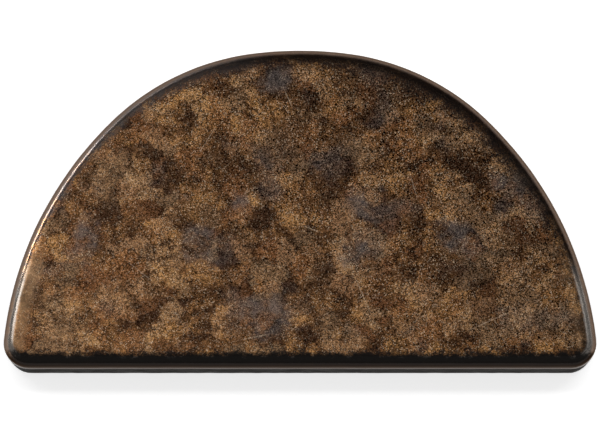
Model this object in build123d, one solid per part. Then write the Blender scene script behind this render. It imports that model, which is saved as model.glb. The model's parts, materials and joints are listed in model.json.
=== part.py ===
from build123d import *

from itertools import pairwise
from math import acos, copysign, cos, degrees, inf, radians, sin
import os

# A half-moon palm edger for concrete, with no handle: the palm lies on a hollow cast bronze body.
# A hardened steel bar along the straight edge carries the turned-down lip and its cove, and rounds
# over the edge of a slab. A steel sole plate closes the body from below and runs on the concrete.
# Millimetres. X runs along the straight edge, Y from the straight edge to the top of the arch, Z up.
# The origin is the middle of the bounding box, level with the tip of the lip.

# Plan outline: a five-arc arch over a straight edge with round corners
span = 153.2  # width of the arch at the line it springs from
depth = 83.0  # straight edge to the top of the arch
spring_drop = 2.0  # the arch springs from this far in front of the straight edge
crown_angle = 8.0  # the crown arc meets the shoulder arc here, in degrees from the top
shoulder_angle = 44.0  # the shoulder arc meets the flank arc here
crown_ratio = 1.5  # crown radius over shoulder radius
corner_radius = 6.5  # outer corners, at both ends of the straight edge

# Heights
lip_depth = 8.0  # sole down to the tip of the lip
body_height = 10.0  # sole up to the top face
sole_step = 0.5  # the sole runs this far below the rim of the body
top_thickness = 3.0  # top wall of the body over the hollow

# Cast body
top_round = 4.2  # top edge, all the way round
rim_round = 1.5  # bottom edge of the rim
rim_wall = 4.0  # wall outside the sole plate
land = 5.0  # ledge that the gasket lies on
pocket_corner = 3.0  # corners of the hollow
rib_thickness = 3.0
rib_offset = 27.0  # each rib's middle from the middle of the tool
boss_radius = 3.6  # bosses that the sole screws go into

# Edging bar
bar_width = 17.0
bar_thickness = 4.0  # sole up to the top of the bar
lip_thickness = 3.0
cove_radius = 4.76  # the radius that the tool leaves on the slab, 3/16 inch
tip_round = 0.9  # both edges of the lip's tip
lip_end_round = 3.0  # the lip's ends, seen from the front, so that they don't gouge the slab
seam_chamfer = 0.3  # top edges of the bar, where it meets the body

# Sole plate and gasket
plate_thickness = 2.0
plate_round = 0.7  # lower edge of the plate
gasket_thickness = 0.8
plate_corner = 3.0  # front corners of the plate and of its rebate

# Screws and dowels
bar_screw_radius = 2.0
bar_screw_margin = 0.87  # steel each side of a bar screw's head
bar_screw_length = 8.0
bar_screw_socket = 2.5  # across flats
bar_screw_pitch = 30.0
bar_screw_count = 5
sole_screw_radius = 1.5
sole_screw_head = 2.8
sole_screw_length = 6.0
sole_screw_socket = 2.0
arch_screw_angles = (-66.0, -33.0, 0.0, 33.0, 66.0)  # in degrees from the top of the arch
head_rim = 0.2  # straight rim of a countersunk head
head_recess = 0.15  # heads lie this far inside the sole
socket_depth = 1.1
dowel_radius = 1.5
dowel_length = 6.0
dowel_in_bar = 2.5  # length of each dowel that sits in the bar
dowel_offset = 45.0

# Clearances
plate_gap = 0.2  # round the edge of the plate, and behind the bar
core_gap = 0.3  # round the core blocks
hole_gap = 0.2  # round a screw's shank
head_gap = 0.1  # round a head's rim
drill_run_out = 0.4  # a blind hole past the end of its screw or dowel
boss_gap = 0.3  # gasket round a boss
margin = 1.0  # how far a cutting tool runs past what it cuts

# Levels and places that follow from the sizes
front = -depth / 2
sole = lip_depth
rim_bottom = sole + sole_step
top = sole + body_height
bar_top = sole + bar_thickness
plate_top = sole + plate_thickness
land_level = plate_top + gasket_thickness
pocket_top = top - top_thickness
cove_end = front + lip_thickness + cove_radius
bar_back = front + bar_width
bar_screw_y = (cove_end + bar_back) / 2
bar_screw_head = (bar_back - cove_end) / 2 - bar_screw_margin
screw_inset = rim_wall + land + head_gap
front_screw_y = bar_back + land + head_gap


def arch_arcs():
    """(last angle, centre x, centre y, radius) of the crown, shoulder and flank arcs on the +X side.

    Neighbouring arcs are tangent, so span and depth give two linear equations for two radii.
    """
    rise = depth + spring_drop
    sin_1, cos_1 = sin(radians(crown_angle)), cos(radians(crown_angle))
    sin_2, cos_2 = sin(radians(shoulder_angle)), cos(radians(shoulder_angle))
    across = (crown_ratio * sin_1 + sin_2 - sin_1, 1 - sin_2)
    along = (crown_ratio * (1 - cos_1) + cos_1 - cos_2, cos_2)
    scale = across[0] * along[1] - across[1] * along[0]
    shoulder = (span / 2 * along[1] - across[1] * rise) / scale
    flank = (across[0] * rise - along[0] * span / 2) / scale
    crown = crown_ratio * shoulder
    x, y = 0.0, depth / 2 - crown
    arcs = [(crown_angle, x, y, crown)]
    x, y = x + (crown - shoulder) * sin_1, y + (crown - shoulder) * cos_1
    arcs.append((shoulder_angle, x, y, shoulder))
    x, y = x + (shoulder - flank) * sin_2, y + (shoulder - flank) * cos_2
    arcs.append((inf, x, y, flank))
    return arcs


ARCS = arch_arcs()


def arch_point(angle, inset=0.0):
    """The point of the arch where its normal leans this many degrees from +Y, moved inwards by inset."""
    x, y, radius = next(arc[1:] for arc in ARCS if abs(angle) <= arc[0])
    lean = radians(abs(angle))
    return Vector(
        copysign(x + (radius - inset) * sin(lean), angle), y + (radius - inset) * cos(lean)
    )


def half_moon(inset=0.0, setback=0.0, corner=corner_radius):
    """The plan outline, with its arch moved inwards by inset and its straight edge by setback."""
    flank_y, flank = ARCS[-1][2:]
    foot = degrees(acos((front + setback - flank_y) / (flank - inset)))
    bends = (-foot, -shoulder_angle, -crown_angle, crown_angle, shoulder_angle, foot)
    arch = [
        ThreePointArc(
            arch_point(start, inset), arch_point((start + end) / 2, inset), arch_point(end, inset)
        )
        for start, end in pairwise(bends)
    ]
    face = make_face(arch + [Line(arch[-1] @ 1, arch[0] @ 0)])
    return fillet(face.vertices().group_by(Axis.Y)[0], corner)


def layer(face, bottom, height_end):
    """The outline as a solid between two heights."""
    return extrude(Pos(0, 0, bottom) * face, height_end - bottom)


def post(x, y, bottom, height_end, radius):
    """An upright round post, or the tool that drills such a hole."""
    return Pos(x, y, (bottom + height_end) / 2) * Cylinder(radius, height_end - bottom)


def countersink(x, y, radius, head):
    """The tool that makes room for a countersunk head, from below the sole to the end of its cone."""
    seat = sole + head_recess + head_rim
    cone = Pos(x, y, seat + (head - radius) / 2) * Cone(head, radius, head - radius)
    return cone + post(x, y, sole - margin, seat, head + head_gap)


def screw_hole(x, y, radius, head, through_end):
    """The tool that makes a countersunk hole right through a plate or bar."""
    return countersink(x, y, radius, head) + post(x, y, sole, through_end + margin, radius + hole_gap)


def tapped_hole(x, y, radius, head, length):
    """The tool that makes a screw's blind hole in the body, with room for a head deeper than its plate."""
    return countersink(x, y, radius, head) + post(x, y, sole, sole + length + drill_run_out, radius)


def flat_screw(x, y, radius, head, length, socket):
    """A countersunk screw with a hexagon socket, head down, its head just inside the sole."""
    face = sole + head_recess
    cone_end = face + head_rim + head - radius
    tip = face + length
    outline = Polyline(
        (0, face),
        (head, face),
        (head, face + head_rim),
        (radius, cone_end),
        (radius, tip - radius / 3),
        (radius * 2 / 3, tip),
        (0, tip),
        close=True,
    )
    turned = revolve(Plane.XZ * make_face(outline), Axis.Z)
    key = extrude(Pos(0, 0, face) * RegularPolygon(socket / 2, 6, major_radius=False), socket_depth)
    return Pos(x, y, 0) * (turned - key)


def cavity(gap=0.0):
    """Plan of the hollow between the ledges, shrunk by gap."""
    return half_moon(rim_wall + land + gap, bar_width + land + gap, pocket_corner)


def rib_plans(gap=0.0):
    """Plans of the two ribs that cross the hollow, each side widened by gap."""
    return [
        Pos(side * rib_offset, 0) * Rectangle(rib_thickness + 2 * gap, 2 * depth) for side in (-1, 1)
    ]


# Where the screws and dowels go
bar_screw_places = [
    ((n - (bar_screw_count - 1) / 2) * bar_screw_pitch, bar_screw_y) for n in range(bar_screw_count)
]
sole_screw_places = [tuple(arch_point(a, screw_inset))[:2] for a in arch_screw_angles]
sole_screw_places += [(side * rib_offset, front_screw_y) for side in (-1, 1)]
dowel_places = [(side * dowel_offset, bar_screw_y) for side in (-1, 1)]
dowel_bottom = bar_top - dowel_in_bar
dowel_top = dowel_bottom + dowel_length


def make_palm_body():
    """The cast body: a rounded half-moon, stepped for the bar and the plate, hollow, with ribs and bosses."""
    body = layer(half_moon(), rim_bottom, top)
    body = fillet(body.edges().group_by(Axis.Z)[-1], top_round)
    body = fillet(body.edges().group_by(Axis.Z)[0], rim_round)
    bar_room = Rectangle(2 * span, bar_width, align=(Align.CENTER, Align.MIN))
    body -= layer(Pos(0, front) * bar_room, rim_bottom - margin, bar_top)
    body -= layer(half_moon(rim_wall, bar_width, plate_corner), rim_bottom - margin, land_level)
    body -= layer(cavity(), rim_bottom, pocket_top)
    for rib in rib_plans():
        body += layer(cavity() & rib, plate_top, pocket_top)
    for x, y in sole_screw_places:
        body += post(x, y, plate_top, pocket_top, boss_radius)
    for x, y in sole_screw_places:
        body -= tapped_hole(x, y, sole_screw_radius, sole_screw_head, sole_screw_length)
    for x, y in bar_screw_places:
        body -= tapped_hole(x, y, bar_screw_radius, bar_screw_head, bar_screw_length)
    for x, y in dowel_places:
        body -= post(x, y, bar_top - margin, dowel_top + drill_run_out, dowel_radius)
    return body


def make_edging_bar():
    """The bar, with the lip, its rounded tip and the cove, and its ends cut to the plan outline."""
    inner = front + lip_thickness
    outline = Polyline((front, 0), (front, bar_top), (bar_back, bar_top), (bar_back, sole), (cove_end, sole))
    cove = RadiusArc((cove_end, sole), (inner, sole - cove_radius), -cove_radius)
    lip = Polyline((inner, sole - cove_radius), (inner, 0), (front, 0))
    section = make_face([outline, cove, lip])
    section = fillet(section.vertices().group_by(Axis.Y)[0], tip_round)
    bar = extrude(Plane.YZ * section, span, both=True)
    bar &= layer(half_moon(), -margin, bar_top)
    face = Pos(0, bar_top / 2) * Rectangle(bar.bounding_box().size.X, bar_top)
    face = fillet(face.vertices().group_by(Axis.Y)[0], lip_end_round)
    bar &= extrude(Plane.XZ * face, depth, both=True)
    bar = chamfer(bar.faces().sort_by(Axis.Z)[-1].edges(), seam_chamfer)
    for x, y in bar_screw_places:
        bar -= screw_hole(x, y, bar_screw_radius, bar_screw_head, bar_top)
    for x, y in dowel_places:
        bar -= post(x, y, dowel_bottom, bar_top + margin, dowel_radius)
    return bar


def make_sole_plate():
    """The steel plate between the rim and the bar, with countersunk holes and a rounded lower edge."""
    outline = half_moon(rim_wall + plate_gap, bar_width + plate_gap, plate_corner)
    plate = layer(outline, sole, plate_top)
    plate = fillet(plate.edges().group_by(Axis.Z)[0], plate_round)
    for x, y in sole_screw_places:
        plate -= screw_hole(x, y, sole_screw_radius, sole_screw_head, plate_top)
    return plate


def make_gasket():
    """A flat ring on the ledges, cut away round the bosses."""
    outline = half_moon(rim_wall + plate_gap, bar_width + plate_gap, plate_corner)
    ring = layer(outline - cavity(), plate_top, land_level)
    for x, y in sole_screw_places:
        ring -= post(x, y, plate_top - margin, land_level + margin, boss_radius + boss_gap)
    return ring


def make_cores():
    """Three blocks that fill the hollow on both sides of the ribs and back the plate, left to right."""
    plan = cavity(core_gap)
    for rib in rib_plans(core_gap):
        plan -= rib
    blocks = layer(plan, plate_top, pocket_top)
    for x, y in sole_screw_places:
        blocks -= post(x, y, plate_top - margin, pocket_top + margin, boss_radius + core_gap)
    return blocks.solids().sort_by(Axis.X)


parts = {
    "palm_body": make_palm_body(),
    "edging_bar": make_edging_bar(),
    "sole_plate": make_sole_plate(),
    "sole_gasket": make_gasket(),
}
for name, block in zip(("core_left", "core_middle", "core_right"), make_cores(), strict=True):
    parts[name] = block
for number, (x, y) in enumerate(bar_screw_places, 1):
    parts[f"bar_screw_{number}"] = flat_screw(
        x, y, bar_screw_radius, bar_screw_head, bar_screw_length, bar_screw_socket
    )
for number, (x, y) in enumerate(sole_screw_places, 1):
    parts[f"sole_screw_{number}"] = flat_screw(
        x, y, sole_screw_radius, sole_screw_head, sole_screw_length, sole_screw_socket
    )
for side, (x, y) in zip(("left", "right"), dowel_places, strict=True):
    parts[f"bar_dowel_{side}"] = post(x, y, dowel_bottom, dowel_top, dowel_radius)

os.makedirs("parts", exist_ok=True)
for name, solid in parts.items():
    export_step(solid, f"parts/{name}.step")
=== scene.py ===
"""The finished look of a half-moon palm edger for concrete, built round its fixed CAD frame."""

import json
from functools import reduce
from math import atan, atan2, copysign, cos, hypot, inf, pi, radians, sin, sqrt, tan

import bmesh
import bpy
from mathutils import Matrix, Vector

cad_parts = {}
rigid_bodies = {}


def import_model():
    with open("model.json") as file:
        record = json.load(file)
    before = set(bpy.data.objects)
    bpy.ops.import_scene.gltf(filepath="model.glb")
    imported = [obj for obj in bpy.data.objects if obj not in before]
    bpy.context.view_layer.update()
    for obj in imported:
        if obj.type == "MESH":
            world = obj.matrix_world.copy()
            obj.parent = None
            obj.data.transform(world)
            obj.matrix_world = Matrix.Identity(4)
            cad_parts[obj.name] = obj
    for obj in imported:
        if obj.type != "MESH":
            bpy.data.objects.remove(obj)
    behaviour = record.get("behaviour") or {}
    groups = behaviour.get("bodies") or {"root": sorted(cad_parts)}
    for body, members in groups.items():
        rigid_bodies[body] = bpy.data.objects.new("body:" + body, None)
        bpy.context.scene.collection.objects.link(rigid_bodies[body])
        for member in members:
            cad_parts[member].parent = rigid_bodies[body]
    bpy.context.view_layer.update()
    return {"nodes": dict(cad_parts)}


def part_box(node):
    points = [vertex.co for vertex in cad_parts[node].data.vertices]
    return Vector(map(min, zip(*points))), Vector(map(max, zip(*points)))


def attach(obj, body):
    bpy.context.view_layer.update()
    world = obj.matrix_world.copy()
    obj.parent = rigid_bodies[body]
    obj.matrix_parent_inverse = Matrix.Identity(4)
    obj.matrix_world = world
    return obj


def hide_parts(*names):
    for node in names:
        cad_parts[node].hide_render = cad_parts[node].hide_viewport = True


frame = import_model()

bl_info = {
    "name": "Half-moon palm edger",
    "version": (1, 0, 0),
    "blender": (4, 5, 0),
    "location": "View3D > Sidebar > Edger",
    "description": "Models the cast body and the edging bar, finishes every piece and lights the tool",
    "category": "Object",
}

MM = 0.001
BODY_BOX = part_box("palm_body")
BAR_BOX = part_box("edging_bar")
PLATE_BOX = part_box("sole_plate")
GASKET_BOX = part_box("sole_gasket")
FRONT = BAR_BOX[0].y
BACK = BODY_BOX[1].y
SOLE = PLATE_BOX[0].z
TOP = BODY_BOX[1].z
RIM_BOTTOM = BODY_BOX[0].z
BAR_TOP = BAR_BOX[1].z
BAR_BACK = BAR_BOX[1].y
PLATE_TOP = PLATE_BOX[1].z
LAND = GASKET_BOX[1].z
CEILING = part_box("core_middle")[1].z

HAIR = 0.01 * MM  # places nearer to each other than this count as one
OVERSHOOT = MM  # how far a cutting block runs past what it cuts
FAR = 1.0  # half length of a block that cuts right through the tool, in metres
ARC_STEP = 1.2 * MM  # spacing of the points along the plan's arcs
SMOOTH_UNDER = 35  # edges that turn by fewer degrees than this are shaded smooth
FLOOR_SIZE = 6.0  # metres
LAMP_POWER = 4.0  # an area light's power for each unit of its radiance and its area
BAR_SCREWS = [f"bar_screw_{n}" for n in range(1, 6)]
SOLE_SCREWS = [f"sole_screw_{n}" for n in range(1, 8)]
DOWELS = [f"bar_dowel_{side}" for side in ("left", "right")]


# ---------------------------------------------------------------- sizes and colours that a user can change


def length(name, description, default):
    """A size in metres, shown in the scene's length unit."""
    return bpy.props.FloatProperty(
        name=name, description=description, default=default, min=0.0, subtype="DISTANCE", unit="LENGTH"
    )


def colour(name, description, default):
    """A linear colour."""
    return bpy.props.FloatVectorProperty(
        name=name, description=description, default=default, size=3, min=0.0, max=1.0, subtype="COLOR"
    )


def angle(name, description, default):
    """An angle, given in degrees and kept in radians."""
    return bpy.props.FloatProperty(
        name=name, description=description, default=radians(default), subtype="ANGLE", unit="ROTATION"
    )


def amount(name, description, default):
    """A plain number."""
    return bpy.props.FloatProperty(name=name, description=description, default=default, min=0.0)


class OutlineSizes(bpy.types.PropertyGroup):
    """The plan of the tool: a five-arc arch over a straight edge with round corners."""

    span: length("Span", "Width of the arch at the line it springs from", 153.2 * MM)
    spring_drop: length("Spring drop", "How far in front of the straight edge the arch springs", 2 * MM)
    crown_angle: angle("Crown angle", "Lean at which the crown arc meets the shoulder arc", 8)
    shoulder_angle: angle("Shoulder angle", "Lean at which the shoulder arc meets the flank arc", 44)
    crown_ratio: amount("Crown ratio", "Crown radius over shoulder radius", 1.5)
    corner: length("Corner", "Radius of both corners of the straight edge", 6.5 * MM)


class BodySizes(bpy.types.PropertyGroup):
    """The cast body."""

    top_round: length("Top round", "Radius of the top edge", 4.2 * MM)
    rim_round: length("Rim round", "Radius of the bottom edge of the rim", 1.5 * MM)
    rim_wall: length("Rim wall", "Wall outside the sole plate", 4 * MM)
    land: length("Land", "Width of the ledge under the gasket", 5 * MM)
    plate_corner: length("Plate corner", "Corner radius of the step for the sole plate", 3 * MM)
    pocket_corner: length("Pocket corner", "Corner radius of the hollow", 3 * MM)
    rib: length("Rib", "Thickness of a rib", 3 * MM)
    rib_gap: length("Rib gap", "How far a rib stops short of the crown of the hollow", 4 * MM)
    boss: length("Boss", "Radius of a screw boss", 3.6 * MM)
    grid: length("Grid", "Spacing of the mesh on the outer skin", 0.9 * MM)
    skin: length("Skin", "How far in from the outline the outer skin counts", 3.5 * MM)
    skin_fade: length("Skin fade", "Height over which the unevenness starts", 2 * MM)
    swell: length("Swell", "Height of the broad unevenness of the casting", 0.10 * MM)
    ripple: length("Ripple", "Height of the fine unevenness of the casting", 0.035 * MM)
    fall: length("Fall", "How far the face sinks towards the arch", 0.22 * MM)
    fall_width: length("Fall width", "Width of the band that sinks", 9 * MM)


class BarSizes(bpy.types.PropertyGroup):
    """The edging bar: its lip, its cove and the wear on its tip."""

    lip: length("Lip", "Thickness of the lip", 3 * MM)
    cove: length("Cove", "Radius that the tool leaves on the slab", 4.76 * MM)
    tip_round: length("Tip round", "Radius of both edges of the lip's tip", 0.9 * MM)
    end_round: length("End round", "Radius of the lip's ends, seen from the front", 3 * MM)
    seam: length("Seam", "Chamfer where the bar meets the body", 0.3 * MM)
    grid: length("Grid", "Spacing of the cuts along the lip", 0.9 * MM)
    nicks: length("Nicks", "Depth of the wear along the lip's tip", 0.12 * MM)
    worn_from: length("Worn from", "Height up to which the tip is worn most", 0.4 * MM)
    worn_to: length("Worn to", "Height at which the wear ends", 3.2 * MM)
    streak: length("Streak", "Width of the fine streaks along all the steel", 0.5 * MM)
    patch: length("Patch", "Size of the patches of dull skin on all the steel", 6 * MM)


class HoleSizes(bpy.types.PropertyGroup):
    """The holes for the screws and the dowels."""

    bar_screw: length("Bar screw", "Radius of a bar screw", 2 * MM)
    bar_head: length("Bar screw head", "Radius of a bar screw's head", 3.75 * MM)
    shank_gap: length("Shank gap", "Clearance round a bar screw", 0.2 * MM)
    head_gap: length("Head gap", "Clearance round a bar screw's head", 0.1 * MM)
    head_seat: length("Head seat", "Depth of the straight rim of a countersunk hole", 0.35 * MM)
    sole_screw: length("Sole screw", "Radius of a sole screw", 1.5 * MM)
    tap: length("Tapped hole", "Depth of a screw's hole in the body", 4.4 * MM)
    dowel: length("Dowel", "Radius of a dowel", 1.5 * MM)
    socket: length("Dowel socket", "Depth of a dowel's hole in the body", 3.9 * MM)


class MarkSizes(bpy.types.PropertyGroup):
    """The size of each kind of marking in the patina."""

    blotch: length("Blotch", "Size of the blotches", 8 * MM)
    wander: length("Wander", "How far the borders of the patches wander", 11 * MM)
    cloud: length("Cloud", "Size of the broad blue-grey clouds", 14 * MM)
    vein: length("Vein", "Spacing of the dark veins", 7 * MM)
    glaze: length("Glaze", "Size of the gaps in the blue-grey glaze", 5 * MM)
    dab: length("Dab", "Size of the reddish and pale dabs", 5 * MM)
    fleck: length("Fleck", "Size of the flecks", 2.4 * MM)
    grain: length("Grain", "Size of the single grains", 0.2 * MM)
    scratch: length("Scratch", "Half width of a scratch", 0.16 * MM)
    grain_relief: length("Grain relief", "Height of the single grains", 0.012 * MM)
    fleck_relief: length("Fleck relief", "Height of the flecks", 0.05 * MM)
    tear: length("Tear", "How far flecks tear the border of a dark band", 0.7 * MM)
    # The three dark bands are partly patina, partly painted shade.
    front_band: length("Front band", "Breadth of the dark band along the straight edge", 3.7 * MM)
    arch_band: length("Arch band", "Breadth of the dark band at the crown of the arch", 7.5 * MM)
    flank_band: length("Flank band", "Breadth of the dark band at the arch's front ends", 3 * MM)


class BronzeColours(bpy.types.PropertyGroup):
    """The patina of the cast body."""

    gold: colour("Gold", "Rubbed golden bronze", (0.258, 0.131, 0.048))
    brown: colour("Brown", "Main brown", (0.126, 0.060, 0.024))
    umber: colour("Umber", "Dark patches", (0.036, 0.017, 0.009))
    slate: colour("Slate", "Blue-grey patches", (0.098, 0.088, 0.085))
    rust: colour("Rust", "Reddish brown dabs", (0.172, 0.073, 0.029))
    # Tan also gives the painted highlight on the face by its front ends.
    tan: colour("Tan", "Pale worn patches", (0.30, 0.183, 0.096))
    # Edge is partly dark patina, partly painted shade in the band towards the arch.
    edge: colour("Edge", "Dark patina towards the rounding", (0.012, 0.009, 0.008))
    wall: colour("Wall", "Wear on the outer wall along the arch", (0.175, 0.128, 0.102))
    # Front is partly dark patina, partly painted shade in the band along the straight edge.
    front: colour("Front", "Dark patina over the edging bar", (0.014, 0.0125, 0.012))
    # This colour is a painted highlight on the rounding at both front ends.
    painted_rim_highlight: colour("Polish", "Rounding worn bare by the hand at both ends", (0.30, 0.275, 0.25))
    spark: colour("Spark", "Bare grains", (0.60, 0.47, 0.34))


class PlainColours(bpy.types.PropertyGroup):
    """The steel, the rubber and the wood, each with its second colour."""

    bar: colour("Bar", "Steel of the edging bar", (0.10, 0.095, 0.09))
    bar_skin: colour("Bar skin", "Dull skin on the edging bar", (0.062, 0.058, 0.055))
    plate: colour("Plate", "Steel of the sole plate", (0.42, 0.41, 0.39))
    plate_skin: colour("Plate skin", "Dull skin on the sole plate", (0.26, 0.25, 0.235))
    screw: colour("Screw", "Blackened steel of the screws and dowels", (0.10, 0.10, 0.105))
    screw_skin: colour("Screw skin", "Darker patches on the screws and dowels", (0.035, 0.035, 0.038))
    rubber: colour("Rubber", "Gasket rubber", (0.012, 0.012, 0.012))
    dust: colour("Dust", "Bloom on the rubber", (0.05, 0.048, 0.045))
    wood: colour("Wood", "Core blocks", (0.42, 0.25, 0.12))
    ring: colour("Ring", "Dark rings in the wood", (0.24, 0.12, 0.05))
    pore: colour("Pore", "Pores in the wood", (0.10, 0.05, 0.02))


class StageSettings(bpy.types.PropertyGroup):
    """Camera and lights."""

    tilt: angle("Tilt", "Camera's lean from the top face's normal, towards the straight edge", 8.5)
    lens: bpy.props.FloatProperty(
        name="Lens", description="Focal length", default=200.0, min=1.0, unit="CAMERA"
    )
    fill: amount("Fill", "Share of the picture's width that the tool takes", 0.988)
    overhead: amount("Overhead", "Radiance of the overhead soft box", 0.92)
    sides: amount("Sides", "Radiance of the two side soft boxes", 4.2)
    strip: amount("Strip", "Radiance of the low strip on the left; the one at the back has a fifth", 26.0)
    surround: amount("Surround", "Brightness of the room", 0.38)
    table: amount("Table", "Light from the table's own surface round the tool", 0.62)
    table_near: length("Table near", "Distance up to which the table has that light", 200 * MM)
    table_far: length("Table far", "Distance from which the table is white", 600 * MM)
    key: amount("Key", "Radiance of the wide light that casts the shadow", 6.5)


# ---------------------------------------------------------------- mesh helpers


def arch_arcs():
    """(last lean, centre x, centre y, radius) of the crown, shoulder and flank arcs on the +X side."""
    plan = bpy.context.scene.edger_outline
    rise = BACK - FRONT + plan.spring_drop
    sin_1, cos_1 = sin(plan.crown_angle), cos(plan.crown_angle)
    sin_2, cos_2 = sin(plan.shoulder_angle), cos(plan.shoulder_angle)
    ratio = plan.crown_ratio
    across = (ratio * sin_1 + sin_2 - sin_1, 1 - sin_2)
    along = (ratio * (1 - cos_1) + cos_1 - cos_2, cos_2)
    scale = across[0] * along[1] - across[1] * along[0]
    shoulder = (plan.span / 2 * along[1] - across[1] * rise) / scale
    flank = (across[0] * rise - along[0] * plan.span / 2) / scale
    crown = ratio * shoulder
    x, y = 0.0, BACK - crown
    arcs = [(plan.crown_angle, x, y, crown)]
    x, y = x + (crown - shoulder) * sin_1, y + (crown - shoulder) * cos_1
    arcs.append((plan.shoulder_angle, x, y, shoulder))
    x, y = x + (shoulder - flank) * sin_2, y + (shoulder - flank) * cos_2
    arcs.append((inf, x, y, flank))
    return arcs


def arch_point(lean, inset=0.0):
    """The point of the arch whose normal leans this far from +Y, moved inwards by inset."""
    x, y, radius = next(arc[1:] for arc in arch_arcs() if abs(lean) <= arc[0])
    reach = radius - inset
    return Vector((copysign(x + reach * sin(abs(lean)), lean), y + reach * cos(lean), 0))


def arch_gap(co, arcs):
    """How far inside the arch a point lies."""
    for lean, x, y, radius in arcs:
        if abs(atan2(abs(co.x) - x, co.y - y)) <= lean:
            return radius - hypot(abs(co.x) - x, co.y - y)


def outline_gap(co, arcs):
    """How far inside the plan outline a point lies, leaving its two corners out of account."""
    return min(arch_gap(co, arcs), co.y - FRONT)


def outline_sweeps(inset, setback, corner):
    """(centre, first lean, last lean, radius) of each arc of the plan, clockwise from the left corner."""
    crown, shoulder, flank = arch_arcs()
    line = FRONT + setback
    _, x, y, radius = flank
    reach = radius - inset - corner
    centre_y = line + corner
    centre_x = x + sqrt(reach**2 - (centre_y - y) ** 2)
    foot = atan2(centre_x - x, centre_y - y)
    right = [
        ((0, crown[2]), crown[0], crown[3] - inset),
        ((shoulder[1], shoulder[2]), shoulder[0], shoulder[3] - inset),
        ((x, y), foot, radius - inset),
        ((centre_x, centre_y), pi, corner),
    ]
    sweeps = [(right[0][0], -right[0][1], right[0][1], right[0][2])]
    for before, (centre, last, size) in zip(right, right[1:]):
        sweeps.append((centre, before[1], last, size))
        sweeps.insert(0, ((-centre[0], centre[1]), -last, -before[1], size))
    return sweeps


def deselect_all():
    if bpy.context.object and bpy.context.object.mode != "OBJECT":
        bpy.ops.object.mode_set(mode="OBJECT")
    bpy.ops.object.select_all(action="DESELECT")


def activate(obj):
    deselect_all()
    obj.select_set(True)
    bpy.context.view_layer.objects.active = obj


def edit(obj):
    """Edit mode with nothing selected."""
    activate(obj)
    bpy.ops.object.mode_set(mode="EDIT")
    bpy.ops.mesh.select_mode(type="VERT")
    bpy.ops.mesh.select_all(action="DESELECT")


def pick(obj, kind, test):
    """Selects in edit mode the vertices, edges or faces whose centre passes the test."""
    bpy.ops.mesh.select_mode(type=kind)
    bpy.ops.mesh.select_all(action="DESELECT")
    mesh = bmesh.from_edit_mesh(obj.data)
    if kind == "VERT":
        chosen = [v for v in mesh.verts if test(v.co)]
    elif kind == "EDGE":
        chosen = [e for e in mesh.edges if all(test(v.co) for v in e.verts)]
    else:
        chosen = [f for f in mesh.faces if test(f.calc_center_median(), f.normal)]
    for element in chosen:
        element.select_set(True)
    mesh.select_flush_mode()
    bmesh.update_edit_mesh(obj.data)


def keep_along(obj, axis):
    """Keeps selected only those edges that run along one axis."""
    mesh = bmesh.from_edit_mesh(obj.data)
    for edge in mesh.edges:
        first, second = edge.verts
        edge.select_set(edge.select and abs(first.co[axis] - second.co[axis]) > MM)
    mesh.select_flush_mode()


def bevel_picked(radius, segments):
    """Rounds the selected edges, or chamfers them with one segment, and leaves edit mode."""
    bpy.ops.mesh.bevel(offset=radius, segments=segments, profile=0.5, affect="EDGES", clamp_overlap=False)
    bpy.ops.object.mode_set(mode="OBJECT")


def bisect_all(place, facing):
    """Cuts every face that isn't hidden with one plane."""
    bpy.ops.mesh.select_all(action="SELECT")
    bpy.ops.mesh.bisect(plane_co=place, plane_no=facing)


def end_cuts(gap):
    """Shows what was hidden from the cuts, merges points nearer than the gap, and leaves edit mode."""
    bpy.ops.mesh.reveal(select=False)
    bpy.ops.mesh.select_all(action="SELECT")
    bpy.ops.mesh.remove_doubles(threshold=gap)
    bpy.ops.object.mode_set(mode="OBJECT")


def slab(name, low, high, inset=0.0, setback=0.0, corner=None):
    """The plan outline as a solid between two heights: a point swept round each arc, filled, extruded."""
    if corner is None:
        corner = bpy.context.scene.edger_outline.corner
    sweeps = outline_sweeps(inset, setback, corner)
    centre, first, _, radius = sweeps[0]
    start = (centre[0] + radius * sin(first), centre[1] + radius * cos(first), low)
    deselect_all()
    bpy.ops.mesh.primitive_circle_add(vertices=3, radius=MM, location=start)
    obj = bpy.context.object
    obj.name = obj.data.name = name
    bpy.ops.object.transform_apply(location=True, rotation=True, scale=True)
    edit(obj)
    bpy.ops.mesh.select_all(action="SELECT")
    bpy.ops.mesh.merge(type="CENTER")
    for centre, first, last, radius in sweeps:
        turn = last - first
        steps = max(3, round(radius * turn / ARC_STEP))
        bpy.ops.mesh.spin(steps=steps, angle=turn, center=(*centre, low), axis=(0, 0, 1))
    bpy.ops.mesh.select_all(action="SELECT")
    bpy.ops.mesh.remove_doubles(threshold=HAIR)
    mesh = bmesh.from_edit_mesh(obj.data)
    for vertex in mesh.verts:
        vertex.select_set(len(vertex.link_edges) == 1)
    mesh.select_flush_mode()
    bpy.ops.mesh.edge_face_add()
    bpy.ops.mesh.select_all(action="SELECT")
    bpy.ops.mesh.edge_face_add()
    bpy.ops.mesh.select_all(action="SELECT")
    bpy.ops.mesh.extrude_region_move(TRANSFORM_OT_translate={"value": (0, 0, high - low)})
    bpy.ops.mesh.select_all(action="SELECT")
    bpy.ops.mesh.normals_make_consistent(inside=False)
    bpy.ops.object.mode_set(mode="OBJECT")
    return obj


def box(name, low, high):
    """A block between two corners, for cutting or joining."""
    deselect_all()
    low, high = Vector(low), Vector(high)
    bpy.ops.mesh.primitive_cube_add(size=1, location=(low + high) / 2, scale=high - low)
    obj = bpy.context.object
    obj.name = name
    bpy.ops.object.transform_apply(location=True, rotation=True, scale=True)
    return obj


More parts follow.
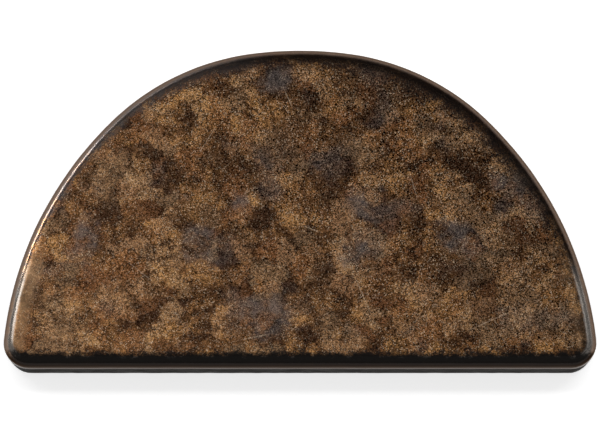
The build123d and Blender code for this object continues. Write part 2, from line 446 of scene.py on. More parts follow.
def posts(name, places, low, high, radius, sides=24, top=None):
    """Upright round posts, or cones that narrow to the top radius, at several places, as one mesh."""
    made = []
    for x, y in places:
        deselect_all()
        bpy.ops.mesh.primitive_cone_add(
            vertices=sides,
            radius1=radius,
            radius2=radius if top is None else top,
            depth=high - low,
            location=(x, y, (low + high) / 2),
        )
        bpy.ops.object.transform_apply(location=True, rotation=True, scale=True)
        made.append(bpy.context.object)
    for obj in made:
        obj.select_set(True)
    if len(made) > 1:
        bpy.ops.object.join()
    made[-1].name = name
    return bpy.context.object


def combine(obj, other, operation):
    """Cuts, joins or intersects with another mesh, and removes the other."""
    activate(obj)
    modifier = obj.modifiers.new(operation.title(), "BOOLEAN")
    modifier.operation = operation
    modifier.solver = "EXACT"
    modifier.object = other
    bpy.ops.object.modifier_apply(modifier=modifier.name)
    bpy.data.objects.remove(other, do_unlink=True)


def centre_of(node):
    low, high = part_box(node)
    return (low.x + high.x) / 2, (low.y + high.y) / 2


def group_weights(obj, name, weight):
    """A vertex group whose weights come from a function of place."""
    group = obj.vertex_groups.new(name=name)
    for vertex in obj.data.vertices:
        group.add([vertex.index], min(1.0, max(0.0, weight(vertex.co))), "REPLACE")


def smooth_step(low, high, value):
    t = min(1.0, max(0.0, (value - low) / (high - low)))
    return t * t * (3 - 2 * t)


def displace(obj, name, strength, group, texture=None, direction="NORMAL", mid_level=1.0):
    """One applied displacement, which with these mid levels only ever sinks the surface."""
    activate(obj)
    modifier = obj.modifiers.new(name, "DISPLACE")
    modifier.strength = strength
    modifier.mid_level = mid_level
    modifier.direction = direction
    modifier.vertex_group = group
    if texture:
        modifier.texture = texture
        modifier.texture_coords = "LOCAL"
    bpy.ops.object.modifier_apply(modifier=modifier.name)


def clouds(name, size, depth):
    """A procedural cloud texture for displacement."""
    texture = bpy.data.textures.new(name, "CLOUDS")
    texture.noise_scale = size
    texture.noise_depth = depth
    texture.noise_basis = "BLENDER_ORIGINAL"
    return texture


def finish_piece(obj, node, material):
    """Shading, material, and the piece's place in the frame."""
    activate(obj)
    bpy.ops.object.shade_smooth_by_angle(angle=radians(SMOOTH_UNDER))
    obj.data.materials.clear()
    obj.data.materials.append(material)
    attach(obj, "root")
    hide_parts(node)


# ---------------------------------------------------------------- material helpers


class Nodes:
    """Short calls for building one material's node tree."""

    def __init__(self, name):
        self.material = bpy.data.materials.new(name)
        self.material.use_nodes = True
        self.tree = self.material.node_tree
        self.shader = self.tree.nodes["Principled BSDF"]
        self.place = self.add("ShaderNodeTexCoord").outputs["Object"]

    def add(self, kind, **values):
        node = self.tree.nodes.new(kind)
        for key, value in values.items():
            setattr(node, key, value)
        return node

    def feed(self, socket, value):
        """Links a node's output to a socket, or sets the socket's own value."""
        if isinstance(value, bpy.types.NodeSocket):
            self.tree.links.new(value, socket)
        else:
            socket.default_value = value

    def noise(self, size, detail=2.0, rough=0.5, distort=0.0, place=None, output="Fac"):
        """Noise whose features are about this size across, from 0 to 1."""
        node = self.add("ShaderNodeTexNoise", noise_dimensions="3D")
        self.feed(node.inputs["Vector"], place or self.place)
        node.inputs["Scale"].default_value = 1 / size
        node.inputs["Detail"].default_value = detail
        node.inputs["Roughness"].default_value = rough
        node.inputs["Distortion"].default_value = distort
        return node.outputs[output]

    def cells(self, size, place, blur=0.0):
        """Cells about this size across, each with its own random colour, with blurred borders if wanted."""
        feature = "SMOOTH_F1" if blur else "F1"
        node = self.add("ShaderNodeTexVoronoi", voronoi_dimensions="3D", feature=feature)
        self.feed(node.inputs["Vector"], place)
        node.inputs["Scale"].default_value = 1 / size
        if blur:
            node.inputs["Smoothness"].default_value = blur
        return node.outputs["Color"]

    def math(self, operation, first, second=0.0):
        node = self.add("ShaderNodeMath", operation=operation)
        self.feed(node.inputs[0], first)
        self.feed(node.inputs[1], second)
        return node.outputs[0]

    def plus(self, first, second):
        return self.math("ADD", first, second)

    def times(self, first, second):
        return self.math("MULTIPLY", first, second)

    def chain(self, operation, values):
        """Joins any number of values, one after the other, by one operation."""
        return reduce(lambda first, second: self.math(operation, first, second), values)

    def total(self, values):
        return self.chain("ADD", values)

    def vector(self, operation, *values):
        """Vector arithmetic on sockets or plain vectors; a length or a distance comes out as a number."""
        node = self.add("ShaderNodeVectorMath", operation=operation)
        for socket, value in zip(node.inputs, values):
            self.feed(socket, value)
        return node.outputs["Value" if operation in ("LENGTH", "DISTANCE") else "Vector"]

    def span(self, value, low, high, to_low=0.0, to_high=1.0, smooth=True):
        """Maps a value's range to another, held at both ends."""
        kind = "SMOOTHSTEP" if smooth else "LINEAR"
        node = self.add("ShaderNodeMapRange", interpolation_type=kind, clamp=True)
        self.feed(node.inputs["Value"], value)
        limits = {"From Min": low, "From Max": high, "To Min": to_low, "To Max": to_high}
        for socket, number in limits.items():
            node.inputs[socket].default_value = number
        return node.outputs["Result"]

    def mix(self, share, first, second, blend="MIX"):
        """Mixes two colours, each a socket or a plain colour."""
        node = self.add("ShaderNodeMix", data_type="RGBA", blend_type=blend)
        self.feed(node.inputs["Factor"], share)
        colours = [s for s in node.inputs if s.type == "RGBA"]
        for socket, value in zip(colours, (first, second)):
            self.feed(socket, value if isinstance(value, bpy.types.NodeSocket) else (*value, 1.0))
        return next(s for s in node.outputs if s.type == "RGBA")

    def mix_value(self, share, first, second):
        """Mixes two plain numbers."""
        node = self.add("ShaderNodeMix", data_type="FLOAT")
        self.feed(node.inputs["Factor"], share)
        numbers = [s for s in node.inputs if s.type == "VALUE"]
        self.feed(numbers[-2], first)
        self.feed(numbers[-1], second)
        return next(s for s in node.outputs if s.type == "VALUE")

    def axes(self, vector=None):
        node = self.add("ShaderNodeSeparateXYZ")
        self.feed(node.inputs[0], vector or self.place)
        return node.outputs

    def shifted(self, offset, scale=(1, 1, 1)):
        """Object coordinates, scaled and moved."""
        node = self.add("ShaderNodeMapping")
        self.feed(node.inputs["Vector"], self.place)
        node.inputs["Location"].default_value = offset
        node.inputs["Scale"].default_value = scale
        return node.outputs["Vector"]

    def normal(self):
        return self.axes(self.add("ShaderNodeNewGeometry").outputs["Normal"])

    def bump(self, height, depth, under=None):
        """Bump of this depth in metres; under is the bump below it."""
        node = self.add("ShaderNodeBump")
        node.inputs["Distance"].default_value = depth
        self.feed(node.inputs["Height"], height)
        if under is not None:
            self.feed(node.inputs["Normal"], under)
        return node.outputs["Normal"]

    def finish(self, tone, roughness, relief=None, metallic=1.0, glare=(1, 1, 1)):
        """Feeds the shader; glare is the tint of what a metal reflects when it is seen edge-on."""
        self.feed(self.shader.inputs["Base Color"], tone)
        self.feed(self.shader.inputs["Roughness"], roughness)
        if relief is not None:
            self.feed(self.shader.inputs["Normal"], relief)
        self.shader.inputs["Metallic"].default_value = metallic
        self.shader.inputs["Specular Tint"].default_value = (*glare, 1.0)
        return self.material


# ---------------------------------------------------------------- materials


# Listed patches of the patina: middle x and y, and half sizes across and along, in millimetres
SLATE_PATCHES = (
    (-26, -10, 5, 6),
    (-15, 1, 3, 3),
    (-55, -10, 3, 9),
    (-9, -29, 9, 6),
    (13, -13, 4, 6),
    (17, 1, 6, 5),
    (40, -8, 6, 5),
    (55, 8, 6, 5),
    (-6, 33, 5, 3),
)
UMBER_PATCHES = (
    (43, 10, 5, 4),
    (-17, 10, 6, 4),
    (-27, -3, 8, 4),
    (-25, -22, 6, 3),
    (-3, 18, 5, 8),
    (37, -15, 7, 5),
    (5, -20, 3, 7),
    (21, -22, 5, 4),
    (25, 29, 12, 4),
    (-20, 30, 7, 3),
    (55, -8, 6, 4),
)
TAN_PATCHES = (
    (7, -31, 3, 5),
    (-62, -29, 7, 8),
    (-47, 7, 7, 8),
    (15, 15, 5, 4),
    (41, 16, 4, 3),
    (56, -24, 6, 8),
    (-48, -24, 6, 4),
)

# Fine scratches: middle x and y and half length in millimetres, and lean from +X in degrees
SCRATCHES = (
    (16, -23, 6, -67),
    (-3, 28, 3, -66),
    (-41, -17, 5, -38),
    (29, 6, 4, -74),
    (-12, -34, 5, 12),
    (48, -30, 6, 24),
    (-24, 17, 4, 58),
    (3, -6, 3, -20),
)


class BronzePatina(Nodes):
    """Cast bronze under a mottled dark brown patina, rubbed golden in places, dark towards the arch and
    along the straight edge in bands that are partly patina and partly painted shade, with painted highlights
    by the front ends and a painted light slope.
    """
    # The patina of the cast body, with the colours of its painted shade and painted highlights.

    def __init__(self):
        super().__init__("bronze_patina")
        self.tones = bpy.context.scene.edger_bronze
        self.sizes = bpy.context.scene.edger_marks
        self.x, self.y = self.axes()[:2]
        self.upright = self.normal()[2]
        self.wavy = self.wandering_place()
        self.blotch = self.noise(self.sizes.blotch, detail=5, rough=0.62, place=self.wavy)
        self.fleck = self.noise(self.sizes.fleck, detail=3, rough=0.6)
        self.hue = self.noise(self.sizes.cloud, detail=3, place=self.shifted((0.31, 0.12, 0.05)))
        self.chance, self.second = self.axes(self.cells(self.sizes.grain, self.place))[:2]
        self.uneven = self.span(self.fleck, 0.3, 0.7, 0.45, 1.0)
        ragged = self.noise(self.sizes.glaze, detail=4, rough=0.6, place=self.shifted((0.21, 0.05, 0.17)))
        slate = self.patches(self.wavy, SLATE_PATCHES)
        self.glaze = self.times(slate, self.span(ragged, 0.36, 0.6, 0.1, 0.55))
        lighter, self.redder, self.paler = self.axes(self.cells(self.sizes.dab, self.wavy, blur=0.4))
        parts = ((self.blotch, 0.6), (lighter, 0.18), (self.fleck, 0.22))
        self.warmth = self.total(self.times(part, share) for part, share in parts)

    def wandering_place(self):
        """Object coordinates pushed about by noise, so that the borders of patches wander."""
        wander = self.noise(self.sizes.blotch, detail=5, rough=0.62, output="Color")
        pushed = self.vector("MULTIPLY_ADD", wander, (self.sizes.wander,) * 3, self.place)
        return self.vector("SUBTRACT", pushed, (self.sizes.wander / 2,) * 3)

    def patches(self, place, ellipses):
        """How far inside any of several soft ellipses, from 0 to 1; a fifth value turns one."""
        shares = []
        for x, y, across, along, *turn in ellipses:
            node = self.add("ShaderNodeMapping", vector_type="TEXTURE")
            self.feed(node.inputs["Vector"], place)
            node.inputs["Location"].default_value = (x * MM, y * MM, 0)
            node.inputs["Rotation"].default_value = (0, 0, radians(turn[0]) if turn else 0)
            node.inputs["Scale"].default_value = (across * MM, along * MM, 1)
            reach = self.vector("LENGTH", node.outputs["Vector"])
            shares.append(self.span(reach, 1.25, 0.45))
        return self.chain("MAXIMUM", shares)

    def mottle(self):
        """Umber, brown and golden blotches, with reddish, pale and blue-grey dabs over them."""
        tones = self.tones
        tone = self.mix(self.span(self.warmth, 0.37, 0.56), tones.umber, tones.brown)
        tone = self.mix(self.span(self.warmth, 0.50, 0.66), tone, tones.gold)
        tone = self.mix(self.span(self.redder, 0.58, 0.85, 0, 0.5), tone, tones.rust)
        tone = self.mix(self.span(self.paler, 0.55, 0.85, 0, 0.32), tone, tones.tan)
        return self.mix(self.span(self.hue, 0.54, 0.72, 0, 0.3), tone, tones.slate)

    def placed_patches(self, tone):
        """Adds the listed dark and pale patches, dark veins, and the blue-grey glaze."""
        tones = self.tones
        for ellipses, patch, share in ((UMBER_PATCHES, tones.umber, 0.7), (TAN_PATCHES, tones.tan, 0.4)):
            inside = self.times(self.patches(self.wavy, ellipses), self.uneven)
            tone = self.mix(self.times(inside, share), tone, patch)
        elsewhere = self.shifted((0.07, 0.23, 0.41))
        bend = self.noise(self.sizes.vein, detail=3, rough=0.55, distort=0.4, place=elsewhere)
        vein = self.math("ABSOLUTE", self.math("SUBTRACT", bend, 0.5))
        vein = self.times(self.span(vein, 0.03, 0.0, 0, 0.85), self.span(self.hue, 0.58, 0.44))
        tone = self.mix(vein, tone, tones.umber)
        return self.mix(self.glaze, tone, tones.slate)

    def grains(self, tone):
        """Makes grains lighter or darker, paints the face lighter towards the front left as painted light,
        bares a few, and adds scratches.
        """
        value = self.span(self.math("POWER", self.chance, 1.5), 0, 1, 0.04, 1.95, smooth=False)
        value = self.mix_value(self.times(self.glaze, 0.6), value, 1.0)
        # Painted light: a slope that makes the face lighter towards the front left and darker towards the
        # back right.
        painted_light_slope = self.plus(self.times(self.y, -3.6), self.times(self.x, -3.0))
        value = self.total((value, painted_light_slope, self.span(self.fleck, 0.3, 0.7, -0.15, 0.15)))
        grey = self.add("ShaderNodeCombineXYZ")
        for socket in grey.inputs:
            self.feed(socket, value)
        tone = self.mix(1.0, tone, grey.outputs[0], "MULTIPLY")
        bared = self.span(self.second, 0.92, 0.95, 0, 0.6)
        bared = self.times(bared, self.span(self.warmth, 0.36, 0.6, 0.3, 1.0))
        tone = self.mix(bared, tone, self.tones.spark)
        half_width = self.sizes.scratch / MM
        lines = [(x, y, half, half_width, lean) for x, y, half, lean in SCRATCHES]
        broken = self.span(self.second, 0.1, 0.9, 0.05, 0.4)
        scratched = self.times(self.patches(self.place, lines), broken)
        return self.mix(scratched, tone, self.tones.spark)

    def towards_arch(self, tone, torn):
        """Paints a pale highlight on the face by its ends, then darkens it towards the arch, in a band with
        a torn border that is partly patina and partly painted shade.
        """
        gap = self.add("ShaderNodeAttribute", attribute_name="rim_gap").outputs["Fac"]
        # Painted highlight: a pale tan glow on the face just inside its edge at both front ends, strongest
        # on the left.
        rubbed = self.times(self.span(gap, 7 * MM, 4.5 * MM), self.span(self.y, -6 * MM, -20 * MM, 0, 0.6))
        rubbed = self.times(rubbed, self.span(self.x, 66 * MM, 40 * MM, 0.4, 1.0))
        tone = self.mix(self.times(rubbed, self.uneven), tone, self.tones.tan)
        sizes = self.sizes
        # Partly dark patina, partly painted shade: a dark band along the arch, broadest at the crown and on
        # the right, blue-grey on the left.
        breadth = self.span(self.y, -20 * MM, 38 * MM, sizes.flank_band, sizes.arch_band, smooth=False)
        breadth = self.times(breadth, self.span(self.x, -45 * MM, 60 * MM, 0.7, 1.6, smooth=False))
        near = self.span(self.math("DIVIDE", self.plus(gap, torn), breadth), 1.0, 0.3)
        band = self.mix(self.span(self.x, -50 * MM, 0), self.tones.slate, self.tones.edge)
        return self.mix(self.times(near, 0.87), tone, band)

    def rounding(self, tone):
        """Paints a pale highlight on the rounding at both ends of the front, and wears the wall below it."""
        # Painted highlight: a pale neutral sheen on the rounding near both ends of the front.
        bare = self.times(self.span(self.upright, 0.965, 0.90), self.span(self.y, -12 * MM, -24 * MM))
        bare = self.times(bare, self.span(self.upright, 0.66, 0.78))
        bare = self.times(bare, self.span(self.chance, 0, 1, 0.6, 1.0))
        tone = self.mix(bare, tone, self.tones.painted_rim_highlight)
        worn = self.mix(self.span(self.chance, 0, 1, 0.0, 0.5), self.tones.wall, tone)
        return self.mix(self.span(self.upright, 0.80, 0.62), tone, worn)

    def over_bar(self, tone, torn):
        """A dark band along the straight edge, partly patina and partly painted shade, greyer where the wall
        turns down to the edging bar.
        """
        # Partly dark patina, partly painted shade: the dark band along the straight edge and down its wall.
        front = self.mix(self.span(self.upright, 0.5, 0.2, 0, 0.6), self.tones.front, self.tones.slate)
        border = FRONT + self.sizes.front_band
        band = self.span(self.plus(self.y, torn), border + MM, border - MM, 0, 0.97)
        return self.mix(band, tone, front)

    def build(self):
        """All the layers, polished on the rounding, where the relief is calmer."""
        tear = self.sizes.tear
        torn = self.span(self.fleck, 0.3, 0.7, -tear, tear)
        torn = self.plus(torn, self.span(self.chance, 0, 1, -tear / 2, tear / 2))
        tone = self.grains(self.placed_patches(self.mottle()))
        tone = self.rounding(self.towards_arch(tone, torn))
        tone = self.over_bar(tone, torn)
        gloss = self.span(self.upright, 0.97, 0.85, 0.38, 0.17)
        rough = self.times(self.span(self.blotch, 0.3, 0.7, 1.08, 0.92), gloss)
        calm = self.span(self.upright, 0.85, 0.97, 0.25, 1.0)
        relief = self.bump(self.times(self.chance, calm), self.sizes.grain_relief)
        relief = self.bump(self.times(self.fleck, calm), self.sizes.fleck_relief, relief)
        return self.finish(tone, rough, relief, glare=(0.42, 0.385, 0.36))


def worn_steel(name, base, dark, rough, glare=1.0, groove=0.02 * MM):
    """Hardened steel with a dull skin, rubbed brighter and scratched along its length."""
    sizes = bpy.context.scene.edger_bar
    m = Nodes(name)
    lengthways = m.shifted((0, 0, 0), scale=(0.05, 1, 1))
    streak = m.noise(sizes.streak, detail=3, rough=0.6, place=lengthways)
    patch = m.noise(sizes.patch, detail=4, rough=0.6)
    grain = m.bump(m.noise(0.4 * MM), 0.015 * MM)
    tone = m.mix(m.span(patch, 0.35, 0.65), base, dark)
    rubbed = [min(1, 1.5 * part) for part in base]
    tone = m.mix(m.span(streak, 0.5, 0.75, 0, 0.5), tone, rubbed)
    relief = m.bump(streak, groove, grain)
    return m.finish(tone, m.span(patch, 0.3, 0.7, rough, rough + 0.14), relief, glare=(glare,) * 3)


def rubber():
    """Black gasket rubber with a dusty bloom."""
    tones = bpy.context.scene.edger_plain
    m = Nodes("gasket_rubber")
    bloom = m.noise(1.5 * MM, detail=4, rough=0.7)
    tone = m.mix(m.span(bloom, 0.4, 0.75), tones.rubber, tones.dust)
    return m.finish(tone, m.span(bloom, 0.3, 0.7, 0.6, 0.85), m.bump(bloom, 0.03 * MM), metallic=0.0)


def core_wood():
    """Plain hardwood with its grain along X."""
    tones = bpy.context.scene.edger_plain
    m = Nodes("core_wood")
    stretched = m.shifted((0, 0, 0), scale=(0.08, 1, 1))
    rings = m.noise(1.6 * MM, detail=4, rough=0.6, distort=0.6, place=stretched)
    pores = m.noise(0.25 * MM, place=m.shifted((0, 0, 0), scale=(0.04, 1, 1)))
    tone = m.mix(m.span(rings, 0.35, 0.68), tones.wood, tones.ring)
    tone = m.mix(m.span(pores, 0.6, 0.75, 0, 0.6), tone, tones.pore)
    return m.finish(tone, 0.6, m.bump(pores, -0.03 * MM), metallic=0.0)


# ---------------------------------------------------------------- the operators, one for each piece or group


class EDGER_OT_palm_body(bpy.types.Operator):
    """Models the hollow cast body: outline, roundings, steps, hollow, ribs, bosses and an uneven skin"""

    bl_idname = "edger.palm_body"
    bl_label = "Palm body"

    def execute(self, context):
        sizes = context.scene.edger_body
        body = slab("palm_body_cast", RIM_BOTTOM, TOP)
        self.round_edges(body, TOP, sizes.top_round, 12)
        self.round_edges(body, RIM_BOTTOM, sizes.rim_round, 5)
        self.hollow(body, sizes)
        self.drill(body, context.scene.edger_holes)
        self.refine(body, sizes)
        self.age(body, sizes)
        finish_piece(body, "palm_body", BronzePatina().build())
        return {"FINISHED"}

    def round_edges(self, body, level, radius, segments):
        """Rounds the loop of edges at one height."""
        edit(body)
        pick(body, "EDGE", lambda co: abs(co.z - level) < HAIR)
        bevel_picked(radius, segments)

    def hollow(self, body, sizes):
        """Cuts the steps for the bar and the plate and the hollow, then adds the ribs and the bosses."""
        below = RIM_BOTTOM - OVERSHOOT
        bar_room = box("bar_room", (-FAR, FRONT - OVERSHOOT, below), (FAR, BAR_BACK, BAR_TOP))
        combine(body, bar_room, "DIFFERENCE")
        width = BAR_BACK - FRONT
        room = slab("plate_room", below, LAND, sizes.rim_wall, width, sizes.plate_corner)
        combine(body, room, "DIFFERENCE")
        inset = sizes.rim_wall + sizes.land
        room = slab("pocket", LAND - OVERSHOOT, CEILING, inset, width + sizes.land, sizes.pocket_corner)
        combine(body, room, "DIFFERENCE")
        screws = [centre_of(node) for node in SOLE_SCREWS]
        rib_x = screws[-1][0]
        above = CEILING + OVERSHOOT
        for side in (-1, 1):
            low = (side * rib_x - sizes.rib / 2, BAR_BACK + sizes.land - OVERSHOOT, LAND)
            high = (side * rib_x + sizes.rib / 2, arch_point(0, inset).y - sizes.rib_gap, above)
            combine(body, box("rib", low, high), "UNION")
        combine(body, posts("bosses", screws, PLATE_TOP, above, sizes.boss), "UNION")

    def drill(self, body, sizes):
        """Blind holes for the sole screws, the bar screws and the dowels."""
        for nodes, level, depth, radius in (
            (SOLE_SCREWS, PLATE_TOP, sizes.tap, sizes.sole_screw),
            (BAR_SCREWS, BAR_TOP, sizes.tap, sizes.bar_screw),
            (DOWELS, BAR_TOP, sizes.socket, sizes.dowel),
        ):
            places = [centre_of(node) for node in nodes]
            combine(body, posts("holes", places, level - OVERSHOOT, level + depth, radius), "DIFFERENCE")

    def refine(self, body, sizes):
        """Cuts the outer skin into a fine grid, with the inside hidden so that it stays coarse."""
        edit(body)
        arcs = arch_arcs()
        face_from = TOP - 3.2 * MM  # above this, only steep faces can be inside

        def inside(co, normal):
            deep = co.z < face_from or normal.z < 0.5
            ceiling = normal.z < -0.9 and co.z < CEILING + 10 * HAIR
            return ceiling or (deep and outline_gap(co, arcs) > sizes.skin)

        pick(body, "FACE", inside)
        bpy.ops.mesh.hide(unselected=False)
        for axis, low, high in ((0, BODY_BOX[0].x, BODY_BOX[1].x), (1, FRONT, BACK)):
            count = round((high - low) / sizes.grid)
            for n in range(1, count):
                place, facing = [0, 0, 0], [0, 0, 0]
                place[axis] = low + (high - low) * n / count
                facing[axis] = 1
                bisect_all(place, facing)
        end_cuts(HAIR / 2)

    def age(self, body, sizes):
        """Makes the skin of the casting uneven, and lets the face sink a little towards the arch."""
        arcs = arch_arcs()

        def skin(co):
            seam = BAR_TOP if co.y < BAR_BACK + MM else RIM_BOTTOM + sizes.rim_round
            outer = outline_gap(co, arcs) < sizes.skin or co.z > CEILING + MM
            return smooth_step(seam, seam + sizes.skin_fade, co.z) if outer else 0.0

        def fall(co):
            rise = smooth_step(FRONT, BACK, co.y)
            width = sizes.fall_width * (1 + rise) / 2
            near = 1 - min(1.0, max(0.0, arch_gap(co, arcs) / width))
            return skin(co) * near**2 * (0.35 + 0.65 * rise)

        gaps = body.data.attributes.new("rim_gap", "FLOAT", "POINT")
        for vertex, item in zip(body.data.vertices, gaps.data):
            item.value = arch_gap(vertex.co, arcs)
        group_weights(body, "skin", skin)
        group_weights(body, "fall", fall)
        displace(body, "Fall", sizes.fall, "fall", direction="Z", mid_level=2.0)
        displace(body, "Swell", sizes.swell, "skin", clouds("swell", 11 * MM, 2))
        displace(body, "Ripple", sizes.ripple, "skin", clouds("ripple", 3.2 * MM, 2))


class EDGER_OT_edging_bar(bpy.types.Operator):
    """Models the steel bar: its lip and cove, its rounded ends, its screw holes and the wear on its tip"""

    bl_idname = "edger.edging_bar"
    bl_label = "Edging bar"

    def execute(self, context):
        sizes = context.scene.edger_bar
        bar = box("edging_bar_worn", (BAR_BOX[0].x, FRONT, 0), (BAR_BOX[1].x, BAR_BACK, BAR_TOP))
        self.cut_cove(bar, sizes)
        self.cut_ends(bar, sizes)
        self.drill(bar, context.scene.edger_holes)
        self.wear(bar, sizes)
        tones = context.scene.edger_plain
        material = worn_steel("bar_steel", tones.bar, tones.bar_skin, 0.36, glare=0.13, groove=0.06 * MM)
        finish_piece(bar, "edging_bar", material)
        return {"FINISHED"}

    def cut_cove(self, bar, sizes):
        """Takes out the room for the slab, whose rounded edge leaves the cove, and rounds the lip's tip."""
        inner = FRONT + sizes.lip
        slab_room = box("slab_room", (-FAR, inner, -OVERSHOOT), (FAR, BAR_BACK + OVERSHOOT, SOLE))
        edit(slab_room)
        pick(slab_room, "EDGE", lambda co: co.y < inner + HAIR and co.z > SOLE - HAIR)
        bevel_picked(sizes.cove, 12)
        combine(bar, slab_room, "DIFFERENCE")
        edit(bar)
        pick(bar, "EDGE", lambda co: co.z < HAIR and (co.y < FRONT + HAIR or co.y > inner - HAIR))
        keep_along(bar, 0)
        bevel_picked(sizes.tip_round, 5)

    def cut_ends(self, bar, sizes):
        """Cuts the ends to the plan outline, rounds them as seen from the front, and chamfers the seam."""
        combine(bar, slab("outline", -OVERSHOOT, BAR_TOP + OVERSHOOT), "INTERSECT")
        ends = box("ends", (BAR_BOX[0].x, -FAR, 0), (BAR_BOX[1].x, FAR, BAR_TOP + 2 * OVERSHOOT))
        edit(ends)
        pick(ends, "EDGE", lambda co: co.z < HAIR)
        keep_along(ends, 1)
        bevel_picked(sizes.end_round, 8)
        combine(bar, ends, "INTERSECT")
        edit(bar)
        bpy.ops.mesh.select_all(action="SELECT")
        bpy.ops.mesh.dissolve_limited(angle_limit=radians(0.2))
        pick(bar, "EDGE", lambda co: co.z > BAR_TOP - HAIR)
        bevel_picked(sizes.seam, 1)

    def drill(self, bar, sizes):
        """Countersunk holes for the screws, and blind holes for the dowels."""
        places = [centre_of(node) for node in BAR_SCREWS]
        above = BAR_TOP + OVERSHOOT
        seat = SOLE + sizes.head_seat
        heads = posts("heads", places, SOLE - OVERSHOOT, seat, sizes.bar_head + sizes.head_gap, 32)
        combine(bar, heads, "DIFFERENCE")
        end = seat + sizes.bar_head - sizes.bar_screw
        cones = posts("cones", places, seat - HAIR, end, sizes.bar_head, 32, top=sizes.bar_screw)
        combine(bar, cones, "DIFFERENCE")
        combine(bar, posts("shanks", places, SOLE, above, sizes.bar_screw + sizes.shank_gap), "DIFFERENCE")
        places = [centre_of(node) for node in DOWELS]
        combine(bar, posts("pins", places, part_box(DOWELS[0])[0].z, above, sizes.dowel), "DIFFERENCE")

    def wear(self, bar, sizes):
        """Cuts the lip into short lengths and sinks its tip unevenly."""
        edit(bar)
        cove_end = FRONT + sizes.lip + sizes.cove
        pick(bar, "FACE", lambda co, normal: co.y > cove_end - 5 * HAIR or normal.z > 0.9)
        bpy.ops.mesh.hide(unselected=False)
        left, right = BAR_BOX[0].x, BAR_BOX[1].x
        for n in range(1, round((right - left) / sizes.grid)):
            bisect_all((left + sizes.grid * n, 0, 0), (1, 0, 0))
        for height in (1.6, 2.6, 4, 6, 8, 10):
            bisect_all((0, 0, height * MM), (0, 0, 1))
        end_cuts(HAIR / 3)
        group_weights(bar, "tip", lambda co: 1 - smooth_step(sizes.worn_from, sizes.worn_to, co.z))
        displace(bar, "Nicks", sizes.nicks, "tip", clouds("nicks", 2.2 * MM, 3))


def paint(node, material):
    """Gives a carried-over node its material."""
    obj = frame["nodes"][node]
    obj.data.materials.clear()
    obj.data.materials.append(material)


class EDGER_OT_sole_plate(bpy.types.Operator):
    """Finishes the sole plate and the gasket above it"""

    bl_idname = "edger.sole_plate"
    bl_label = "Sole plate"

    def execute(self, context):
        tones = context.scene.edger_plain
        paint("sole_plate", worn_steel("plate_steel", tones.plate, tones.plate_skin, 0.28))
        paint("sole_gasket", rubber())
        return {"FINISHED"}


class EDGER_OT_fasteners(bpy.types.Operator):
    """Finishes the screws and the dowels"""

    bl_idname = "edger.fasteners"
    bl_label = "Screws and dowels"

    def execute(self, context):
        tones = context.scene.edger_plain
        material = worn_steel("screw_steel", tones.screw, tones.screw_skin, 0.36)
        for node in (*BAR_SCREWS, *SOLE_SCREWS, *DOWELS):
            paint(node, material)
        return {"FINISHED"}


class EDGER_OT_cores(bpy.types.Operator):
    """Finishes the wooden blocks inside the body"""

    bl_idname = "edger.cores"
    bl_label = "Core blocks"

    def execute(self, context):
        material = core_wood()
        for side in ("left", "middle", "right"):
            paint(f"core_{side}", material)
        return {"FINISHED"}


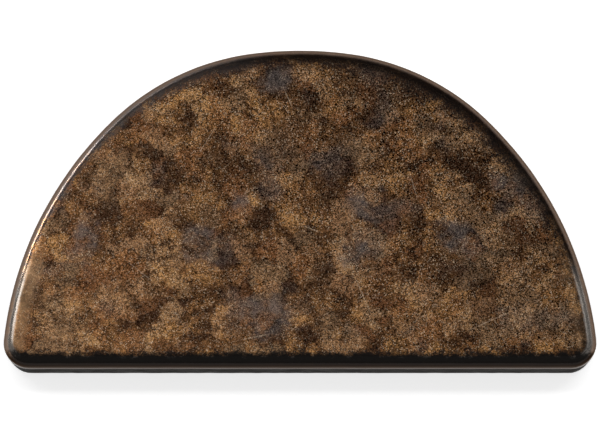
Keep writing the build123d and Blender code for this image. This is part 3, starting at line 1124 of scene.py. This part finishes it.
class EDGER_OT_stage(bpy.types.Operator):
    """Adds the floor that the tool rests on, the lights and the camera"""

    bl_idname = "edger.stage"
    bl_label = "Stage"

    def execute(self, context):
        stage = context.scene.edger_stage
        self.floor(stage)
        self.world(stage)
        self.lights(stage)
        self.camera(stage)
        context.scene.view_settings.view_transform = "Standard"
        context.scene.view_settings.look = "None"
        return {"FINISHED"}

    def floor(self, stage):
        """A pale lit table. The tool rests on the tip of its lip and the back of its sole, so it leans."""
        tip = FRONT + bpy.context.scene.edger_bar.tip_round
        heel = PLATE_BOX[1].y - 0.7 * MM  # the plate's lower edge is rounded by this much
        lean = atan(SOLE / (heel - tip))
        deselect_all()
        bpy.ops.mesh.primitive_grid_add(x_subdivisions=8, y_subdivisions=8, size=FLOOR_SIZE)
        floor = bpy.context.object
        floor.name = "floor"
        floor.rotation_euler = (lean, 0, 0)
        floor.location = (0, 0, -tip * tan(lean))
        m = Nodes("floor_table")
        reach = m.vector("LENGTH", m.place)
        glow = m.span(reach, stage.table_near, stage.table_far, stage.table, 1.0)
        m.feed(m.shader.inputs["Emission Strength"], glow)
        m.shader.inputs["Emission Color"].default_value = (1, 1, 1, 1)
        m.shader.inputs["Specular IOR Level"].default_value = 0.0
        m.finish((0.8, 0.8, 0.8, 1.0), 0.9, metallic=0.0)
        floor.data.materials.append(m.material)

    def world(self, stage):
        """A dim room, the same all round, that the camera sees white."""
        world = bpy.data.worlds.new("room")
        bpy.context.scene.world = world
        world.use_nodes = True
        tree = world.node_tree
        back = tree.nodes["Background"]
        path = tree.nodes.new("ShaderNodeLightPath")
        level = tree.nodes.new("ShaderNodeMapRange")
        tree.links.new(path.outputs["Is Camera Ray"], level.inputs["Value"])
        level.inputs["To Min"].default_value = stage.surround
        level.inputs["To Max"].default_value = 1.0
        tree.links.new(level.outputs["Result"], back.inputs["Strength"])
        back.inputs["Color"].default_value = (1, 1, 1, 1)

    def lights(self, stage):
        """Soft boxes overhead and at both sides, two low strips, and a key that casts the shadow."""
        low = {"elevation": 5, "reach": 0.6}
        self.soft_box("overhead", stage.overhead, 115, (0.80, 0.74), elevation=80.6, reach=1.3)
        self.soft_box("left_side", stage.sides, 163, (0.16, 0.34), elevation=38, reach=0.7)
        self.soft_box("right_side", 0.3 * stage.sides, 17, (0.16, 0.30), elevation=42, reach=0.7)
        self.soft_box("left_strip", stage.strip, 148, (0.26, 0.04), **low)
        self.soft_box("back_strip", 0.2 * stage.strip, 118, (0.36, 0.04), **low)
        key = self.soft_box("key", stage.key, 90, (1.4, 0.25), elevation=71, reach=1.3)
        key.visible_glossy = False
        for light in bpy.context.scene.objects:
            if light.type == "LIGHT":
                light.visible_camera = False
                light.visible_diffuse = light == key

    def soft_box(self, name, radiance, azimuth, size, elevation, reach):
        """An area light facing the tool; azimuth runs from +X towards +Y."""
        data = bpy.data.lights.new(name, "AREA")
        data.shape = "RECTANGLE"
        data.size, data.size_y = size
        data.energy = LAMP_POWER * radiance * size[0] * size[1]
        light = bpy.data.objects.new(name, data)
        turn, rise = radians(azimuth), radians(elevation)
        away = Vector((cos(rise) * cos(turn), cos(rise) * sin(turn), sin(rise)))
        light.location = away * reach
        light.rotation_euler = (-away).to_track_quat("-Z", "Y").to_euler()
        bpy.context.scene.collection.objects.link(light)
        return light

    def camera(self, stage):
        """Above the tool, leaning a little towards its straight edge."""
        data = bpy.data.cameras.new("camera")
        data.lens = stage.lens
        width = (BODY_BOX[1].x - BODY_BOX[0].x) / stage.fill
        reach = width * data.lens / data.sensor_width
        aim = Vector((0, (FRONT + BACK) / 2, TOP / 2))
        camera = bpy.data.objects.new("camera", data)
        away = Vector((0, -sin(stage.tilt), cos(stage.tilt)))
        camera.location = aim + away * (reach + TOP / 2)
        camera.rotation_euler = (stage.tilt, 0, 0)
        bpy.context.scene.collection.objects.link(camera)
        bpy.context.scene.camera = camera


PIECE_OPERATORS = (
    EDGER_OT_palm_body,
    EDGER_OT_edging_bar,
    EDGER_OT_sole_plate,
    EDGER_OT_fasteners,
    EDGER_OT_cores,
    EDGER_OT_stage,
)


class EDGER_PT_panel(bpy.types.Panel):
    """Lists the sizes, the colours and the operators"""

    bl_idname = "EDGER_PT_panel"
    bl_label = "Palm edger"
    bl_space_type = "VIEW_3D"
    bl_region_type = "UI"
    bl_category = "Edger"

    def draw(self, context):
        for key in GROUPS:
            group = getattr(context.scene, key)
            column = self.layout.column(align=True)
            for name in group.__annotations__:
                column.prop(group, name)
        for operator in PIECE_OPERATORS:
            self.layout.operator(operator.bl_idname)


GROUPS = {
    "edger_outline": OutlineSizes,
    "edger_body": BodySizes,
    "edger_bar": BarSizes,
    "edger_holes": HoleSizes,
    "edger_marks": MarkSizes,
    "edger_bronze": BronzeColours,
    "edger_plain": PlainColours,
    "edger_stage": StageSettings,
}
CLASSES = (*GROUPS.values(), *PIECE_OPERATORS, EDGER_PT_panel)


def register():
    for item in CLASSES:
        bpy.utils.register_class(item)
    for name, group in GROUPS.items():
        setattr(bpy.types.Scene, name, bpy.props.PointerProperty(type=group))


def unregister():
    for name in GROUPS:
        delattr(bpy.types.Scene, name)
    for item in reversed(CLASSES):
        bpy.utils.unregister_class(item)


def main():
    register()
    bpy.ops.edger.palm_body()
    bpy.ops.edger.edging_bar()
    bpy.ops.edger.sole_plate()
    bpy.ops.edger.fasteners()
    bpy.ops.edger.cores()
    bpy.ops.edger.stage()
    bpy.context.view_layer.update()


if __name__ == "__main__":
    main()
